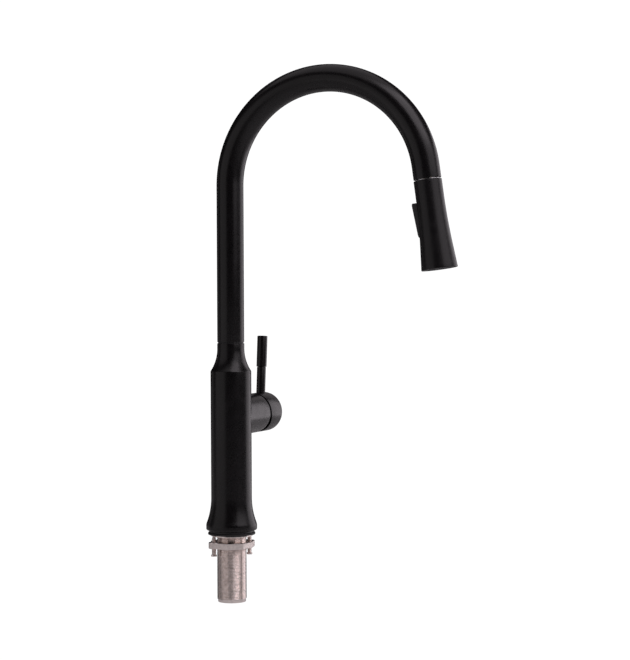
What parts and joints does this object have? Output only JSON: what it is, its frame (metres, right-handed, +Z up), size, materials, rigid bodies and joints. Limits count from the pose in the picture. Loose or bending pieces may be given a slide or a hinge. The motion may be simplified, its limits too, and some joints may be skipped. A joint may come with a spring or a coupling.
{
  "type": "pull down kitchen faucet",
  "caption": "Deck mounted kitchen faucet: gooseneck spout with a magnetically docked pull down spray head, side lever mixer and a threaded shank with its deck clamp.",
  "frame": {"origin": "on the body's axis at the deck surface, which is the underside of the base gasket", "axes": "+Z up along the body's axis, the docked spout points along -Y, the handle along +X"},
  "size_m": [0.1163, 0.2722, 0.553],
  "materials": {
    "matte_black": "matte black powder coat",
    "head_black": "matte black coat on a plastic shell",
    "black_plastic": "satin moulded black",
    "grey_plastic": "moulded grey",
    "white_plastic": "moulded white",
    "rubber": "soft black rubber",
    "silicone": "soft grey silicone",
    "nickel": "nickel plated, fine turning marks",
    "steel": "plain stainless steel",
    "brass": "machined brass",
    "ceramic": "ground ceramic",
    "braid": "woven nylon sleeve"
  },
  "bodies": {
    "base": {"faucet_body": "matte_black", "base_ring": "black_plastic", "base_gasket": "rubber", "threaded_shank": "nickel", "cartridge_body": "white_plastic", "bonnet_nut": "black_plastic", "ceramic_disc_fixed": "ceramic", "inlet_nipple_hot": "brass", "inlet_nipple_cold": "brass", "spout_set_screw": "steel"},
    "spout": {"spout_tube": "matte_black", "spout_stem": "brass", "stem_oring_lower": "rubber", "stem_oring_upper": "rubber", "swivel_ring": "black_plastic", "docking_collar": "white_plastic", "docking_magnet": "steel", "spray_hose": "braid", "hose_pullout": "braid"},
    "hose_end": {"hose_ferrule": "steel", "hose_connector": "brass"},
    "spray_head": {"head_shell": "head_black", "docking_steel_ring": "steel", "head_waterway": "grey_plastic", "check_valve": "white_plastic", "face_ring": "grey_plastic", "spray_face": "black_plastic", "nozzle_mat": "silicone", "aerator": "grey_plastic", "rocker_cradle": "grey_plastic", "rocker_pin": "steel"},
    "rocker": {"rocker_button": "black_plastic"},
    "diverter": {"diverter_spool": "white_plastic"},
    "turret": {"cartridge_turret": "grey_plastic", "stem_pin": "steel"},
    "disc": {"ceramic_disc_moving": "ceramic", "disc_carrier": "grey_plastic"},
    "handle": {"valve_stem": "brass", "handle_cap": "matte_black", "handle_set_screw": "steel", "set_screw_plug": "black_plastic", "lever_rod": "matte_black", "lever_grip": "matte_black"},
    "clamp": {"clamp_washer": "nickel"},
    "nut": {"mounting_nut": "nickel"},
    "screw_left": {"clamp_screw_left": "nickel"},
    "screw_right": {"clamp_screw_right": "nickel"}
  },
  "joints": [
    {"name": "spout_swivel", "type": "hinge", "parent": "base", "child": "spout", "pos_m": [0, 0, 0.1986], "axis": [0, 0, 1], "range_deg": [-180, 180]},
    {"name": "head_pull_out", "type": "slide", "parent": "spout", "child": "hose_end", "axis": [0, -0.1374, -0.9905], "range_m": [0, 0.4], "deforming": ["hose_pullout"]},
    {"name": "head_swivel", "type": "hinge", "parent": "hose_end", "child": "spray_head", "pos_m": [0, -0.21522, 0.36336], "axis": [0, -0.1374, -0.9905], "continuous": true},
    {"name": "rocker_tilt", "type": "hinge", "parent": "spray_head", "child": "rocker", "pos_m": [0, -0.20914, 0.32284], "axis": [1, 0, 0], "range_deg": [0, 7]},
    {"name": "diverter_travel", "type": "slide", "parent": "spray_head", "child": "diverter", "axis": [0, -0.1374, -0.9905], "range_m": [0, 0.0022]},
    {"name": "temperature_turn", "type": "hinge", "parent": "base", "child": "turret", "pos_m": [0, 0, 0.1227], "axis": [1, 0, 0], "range_deg": [-45, 45]},
    {"name": "flow_lift", "type": "hinge", "parent": "turret", "child": "handle", "pos_m": [0.046, 0, 0.1227], "axis": [0, 1, 0], "range_deg": [0, 18]},
    {"name": "disc_shift", "type": "slide", "parent": "turret", "child": "disc", "axis": [0, 0, 1], "range_m": [0, 0.0036]},
    {"name": "clamp_slide", "type": "slide", "parent": "base", "child": "clamp", "axis": [0, 0, 1], "range_m": [-0.045, 0]},
    {"name": "nut_turn", "type": "hinge", "parent": "clamp", "child": "nut", "pos_m": [0, 0, 0], "axis": [0, 0, 1], "continuous": true},
    {"name": "clamp_screw_left_travel", "type": "slide", "parent": "nut", "child": "screw_left", "axis": [0, 0, 1], "range_m": [-0.006, 0]},
    {"name": "clamp_screw_right_travel", "type": "slide", "parent": "nut", "child": "screw_right", "axis": [0, 0, 1], "range_m": [-0.006, 0]}
  ],
  "couplings": [
    {"joint": "diverter_travel", "follows": "rocker_tilt", "m_per_rad": 0.0164},
    {"joint": "disc_shift", "follows": "flow_lift", "m_per_rad": 0.01114}
  ]
}
